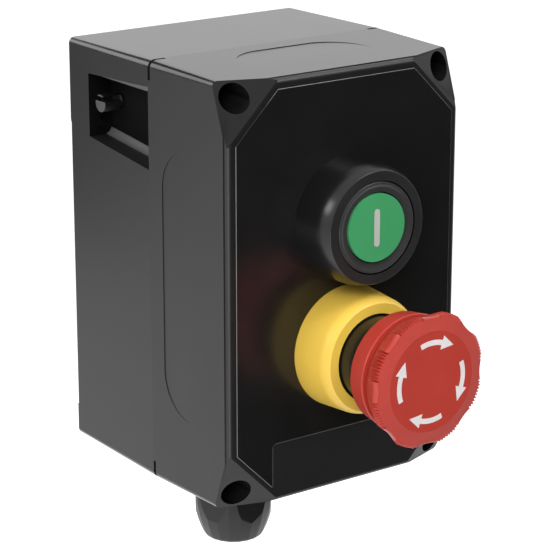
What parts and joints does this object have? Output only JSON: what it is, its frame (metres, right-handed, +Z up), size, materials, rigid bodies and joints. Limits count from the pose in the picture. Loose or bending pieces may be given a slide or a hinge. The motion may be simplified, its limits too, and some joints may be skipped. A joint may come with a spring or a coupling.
{
  "type": "control station",
  "caption": "Wall-mounted control station: black two-shell box with a green start pushbutton above a red twist-to-release emergency stop, and a cable gland below.",
  "frame": {"origin": "middle of the two wall screws, on the wall plane that the back of the box lies against", "axes": "+X to the right as seen from the front, +Y into the wall, +Z up; the devices look towards -Y"},
  "size_m": [0.1034, 0.1492, 0.1983],
  "materials": {
    "shell": "fine-grained glass-fibre polyester",
    "plate": "glossy",
    "collar": "satin",
    "yellow": "satin",
    "red": "satin",
    "green": "satin",
    "nylon": "satin",
    "block": "satin",
    "earth": "satin",
    "rubber": "matt",
    "steel": "zinc plated",
    "brass": "satin"
  },
  "bodies": {
    "station": {"rear_housing": "shell", "front_cover": "shell", "cover_gasket": "rubber", "cover_screws": "steel", "threaded_inserts": "brass", "label_plate": "plate", "mounting_rail": "steel", "rail_screws": "steel", "bonding_stud": "steel", "bonding_washer": "steel", "bonding_nut": "brass", "earth_terminal": "earth", "start_collar": "collar", "start_collar_seal": "rubber", "start_sleeve": "nylon", "start_lock_nut": "nylon", "start_spring": "steel", "start_contact_block": "block", "start_terminals": "brass", "estop_collar": "yellow", "estop_collar_seal": "rubber", "estop_sleeve": "nylon", "estop_lock_nut": "nylon", "estop_latch_ring": "steel", "estop_spring": "steel", "estop_contact_block": "block", "estop_terminals": "brass", "gland_body": "nylon", "gland_washer": "rubber", "gland_lock_nut": "nylon", "gland_seal": "rubber", "gland_cap_nut": "nylon"},
    "start_button": {"start_button": "collar", "start_insert": "green", "start_shaft_seal": "rubber", "start_clip": "steel"},
    "start_contact": {"start_plunger": "green"},
    "estop_shaft": {"estop_shaft": "nylon", "estop_shaft_seal": "rubber", "estop_neck": "collar", "estop_head_screw": "steel", "estop_clip": "steel"},
    "estop_head": {"estop_skirt": "red", "estop_cap": "red", "estop_disc": "red"},
    "estop_contact": {"estop_plunger": "red"}
  },
  "joints": [
    {"name": "start_press", "type": "slide", "parent": "station", "child": "start_button", "axis": [0, 1, 0], "range_m": [0, 0.004], "stiffness_N_per_m": 1500, "springref_m": -0.003, "deforming": ["start_spring"]},
    {"name": "start_contact_press", "type": "slide", "parent": "station", "child": "start_contact", "axis": [0, 1, 0], "range_m": [0, 0.004]},
    {"name": "estop_press", "type": "slide", "parent": "station", "child": "estop_shaft", "axis": [0, 1, 0], "range_m": [0, 0.005], "stiffness_N_per_m": 2500, "springref_m": -0.003, "deforming": ["estop_spring"]},
    {"name": "estop_twist", "type": "hinge", "parent": "estop_shaft", "child": "estop_head", "pos_m": [0, -0.14, -0.0237], "axis": [0, 1, 0], "range_deg": [0, 35], "stiffness_Nm_per_rad": 0.3, "springref_deg": -8.59},
    {"name": "estop_contact_press", "type": "slide", "parent": "station", "child": "estop_contact", "axis": [0, 1, 0], "range_m": [0, 0.005]}
  ],
  "couplings": [
    {"joint": "start_contact_press", "follows": "start_press", "ratio": 1},
    {"joint": "estop_contact_press", "follows": "estop_press", "ratio": 1}
  ]
}
